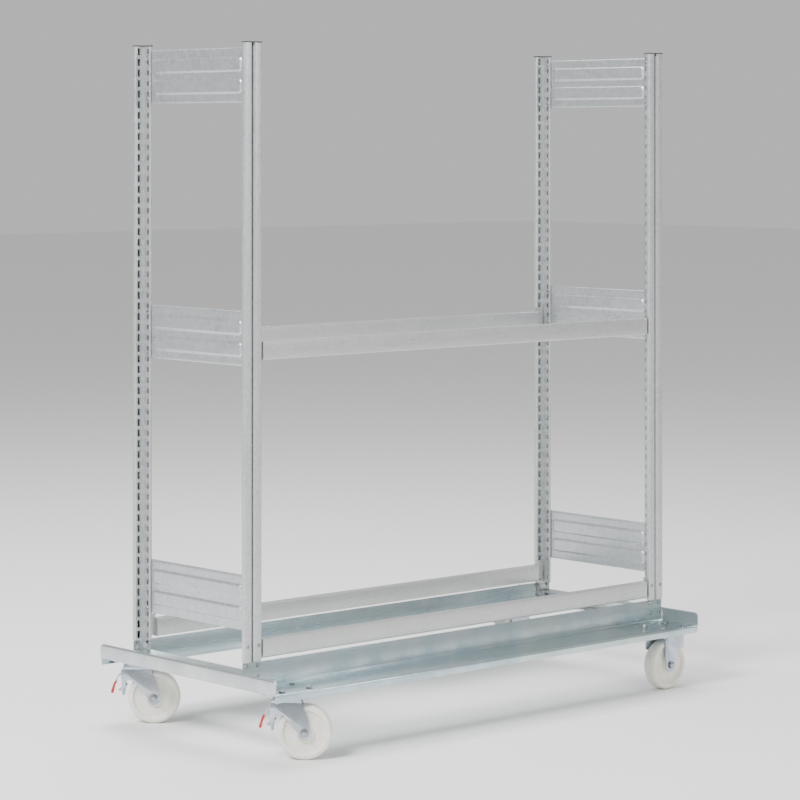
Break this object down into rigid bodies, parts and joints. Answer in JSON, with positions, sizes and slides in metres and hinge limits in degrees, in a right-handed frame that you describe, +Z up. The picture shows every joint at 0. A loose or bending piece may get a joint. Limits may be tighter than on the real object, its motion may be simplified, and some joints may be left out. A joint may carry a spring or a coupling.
{
  "type": "mobile tyre rack",
  "caption": "Mobile rack for storing tyres upright: slotted steel uprights, paired hook-in beams on shelf levels and a folded-sheet chassis on castors with foot brakes.",
  "frame": {"origin": "on the floor, at the middle of the footprint with the castors as stored", "axes": "+Z up, +X along the beams towards the fixed castors, the front faces -Y"},
  "size_m": [1.4, 0.6869, 1.617],
  "materials": {
    "galvanised_steel": "hot-dip galvanised sheet, satin",
    "panel_steel": "galvanised sheet, satin, slightly bluish",
    "beam_steel": "galvanised sheet, semi-gloss",
    "chassis_zinc": "bright zinc-plated sheet, glossy",
    "castor_zinc": "bright zinc-plated pressing",
    "bright_zinc": "bright zinc-plated fastener",
    "nylon": "off-white cast nylon, satin",
    "red_plastic": "red moulded plastic",
    "cap_plastic": "dark grey moulded plastic"
  },
  "bodies": {
    "frame": {"beam_front_low": "beam_steel", "beam_front_middle": "beam_steel", "beam_hooks_front_low": "beam_steel", "beam_hooks_front_middle": "beam_steel", "beam_hooks_rear_low": "beam_steel", "beam_hooks_rear_middle": "beam_steel", "beam_rear_low": "beam_steel", "beam_rear_middle": "beam_steel", "cap_front_left": "cap_plastic", "cap_front_right": "cap_plastic", "cap_rear_left": "cap_plastic", "cap_rear_right": "cap_plastic", "castor_axle_front_right": "bright_zinc", "castor_axle_rear_right": "bright_zinc", "castor_bolts": "bright_zinc", "castor_fork_front_right": "castor_zinc", "castor_fork_rear_right": "castor_zinc", "castor_kingpin_front_left": "bright_zinc", "castor_kingpin_rear_left": "bright_zinc", "castor_nuts": "bright_zinc", "castor_plate_front_left": "castor_zinc", "castor_plate_rear_left": "castor_zinc", "castor_race_front_left": "castor_zinc", "castor_race_rear_left": "castor_zinc", "end_rail_left": "chassis_zinc", "end_rail_right": "chassis_zinc", "foot_bracket_front_left": "bright_zinc", "foot_bracket_front_right": "bright_zinc", "foot_bracket_rear_left": "bright_zinc", "foot_bracket_rear_right": "bright_zinc", "foot_screws": "bright_zinc", "long_rail_front": "chassis_zinc", "long_rail_rear": "chassis_zinc", "panel_screws": "bright_zinc", "side_panel_left_low": "panel_steel", "side_panel_left_middle": "panel_steel", "side_panel_left_top": "panel_steel", "side_panel_right_low": "panel_steel", "side_panel_right_middle": "panel_steel", "side_panel_right_top": "panel_steel", "upright_front_left": "galvanised_steel", "upright_front_right": "galvanised_steel", "upright_rear_left": "galvanised_steel", "upright_rear_right": "galvanised_steel"},
    "swivel_front_left": {"castor_fork_front_left": "castor_zinc", "castor_axle_front_left": "bright_zinc"},
    "wheel_front_left": {"castor_wheel_front_left": "nylon"},
    "brake_front_left": {"brake_lever_front_left": "castor_zinc", "brake_grip_front_left": "red_plastic"},
    "swivel_rear_left": {"castor_fork_rear_left": "castor_zinc", "castor_axle_rear_left": "bright_zinc"},
    "wheel_rear_left": {"castor_wheel_rear_left": "nylon"},
    "brake_rear_left": {"brake_lever_rear_left": "castor_zinc", "brake_grip_rear_left": "red_plastic"},
    "wheel_front_right": {"castor_wheel_front_right": "nylon"},
    "wheel_rear_right": {"castor_wheel_rear_right": "nylon"}
  },
  "joints": [
    {"name": "swivel_front_left", "type": "hinge", "parent": "frame", "child": "swivel_front_left", "pos_m": [-0.625, -0.262, 0.14], "axis": [0, 0, 1], "continuous": true},
    {"name": "roll_front_left", "type": "hinge", "parent": "swivel_front_left", "child": "wheel_front_left", "pos_m": [-0.59575, -0.28928, 0.0625], "axis": [0.682, 0.7314, 0], "continuous": true},
    {"name": "brake_front_left", "type": "hinge", "parent": "swivel_front_left", "child": "brake_front_left", "pos_m": [-0.64694, -0.24154, 0.116], "axis": [-0.682, -0.7314, 0], "range_deg": [0, 8.2]},
    {"name": "swivel_rear_left", "type": "hinge", "parent": "frame", "child": "swivel_rear_left", "pos_m": [-0.625, 0.294, 0.14], "axis": [0, 0, 1], "continuous": true},
    {"name": "roll_rear_left", "type": "hinge", "parent": "swivel_rear_left", "child": "wheel_rear_left", "pos_m": [-0.59575, 0.26672, 0.0625], "axis": [0.682, 0.7314, 0], "continuous": true},
    {"name": "brake_rear_left", "type": "hinge", "parent": "swivel_rear_left", "child": "brake_rear_left", "pos_m": [-0.64694, 0.31446, 0.116], "axis": [-0.682, -0.7314, 0], "range_deg": [0, 8.2]},
    {"name": "roll_front_right", "type": "hinge", "parent": "frame", "child": "wheel_front_right", "pos_m": [0.625, -0.262, 0.0625], "axis": [0, 1, 0], "continuous": true},
    {"name": "roll_rear_right", "type": "hinge", "parent": "frame", "child": "wheel_rear_right", "pos_m": [0.625, 0.294, 0.0625], "axis": [0, 1, 0], "continuous": true}
  ]
}
